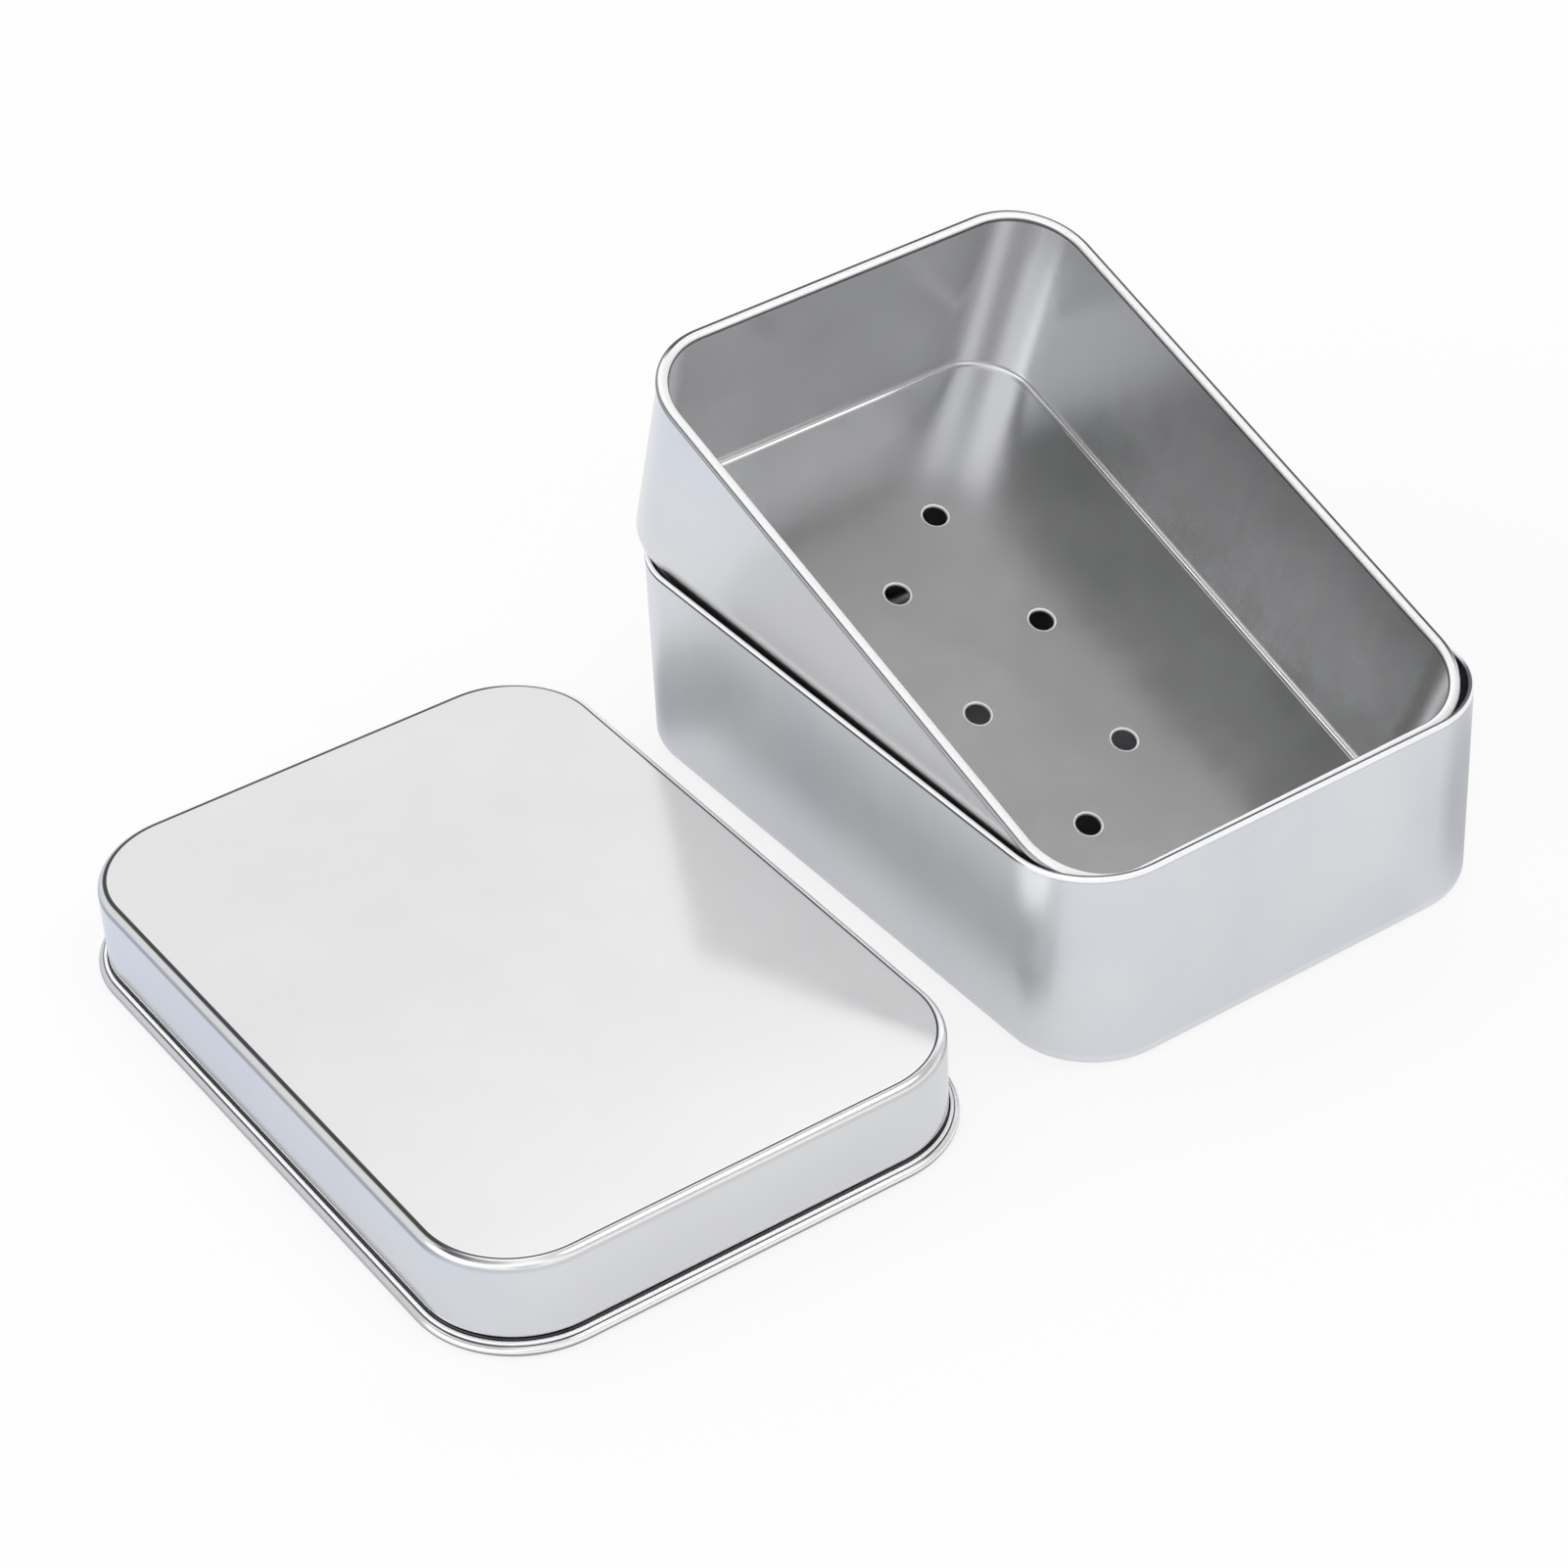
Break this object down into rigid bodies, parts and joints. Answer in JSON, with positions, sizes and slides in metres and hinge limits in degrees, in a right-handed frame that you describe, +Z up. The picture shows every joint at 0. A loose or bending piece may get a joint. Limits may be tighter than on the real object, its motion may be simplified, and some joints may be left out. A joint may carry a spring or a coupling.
{
  "type": "travel soap box",
  "caption": "Rectangular drawn metal travel soap box with rounded corners, a perforated drain tray leaning in its mouth and a slip-on lid lying beside it.",
  "frame": {"origin": "middle of the base's flat underside, the face that it stands on", "axes": "+Z up out of the base's mouth, +X along the base towards the end where the tray's rim is sunk, +Y across the base away from the lid"},
  "size_m": [0.1111, 0.1643, 0.0646],
  "materials": {
    "satin_aluminium": "satin drawn sheet, finely brushed",
    "bright_aluminium": "bright drawn sheet, faint drawing lines"
  },
  "bodies": {
    "base": {"base": "satin_aluminium"},
    "drain_tray": {"drain_tray": "bright_aluminium"},
    "lid": {"lid": "satin_aluminium"}
  },
  "joints": [
    {"name": "tray_lift", "type": "slide", "parent": "base", "child": "drain_tray", "axis": [0, 0, 1], "range_m": [0, 0.06]},
    {"name": "lid_lift", "type": "slide", "parent": "base", "child": "lid", "axis": [0, 0, 1], "range_m": [0, 0.06]}
  ]
}
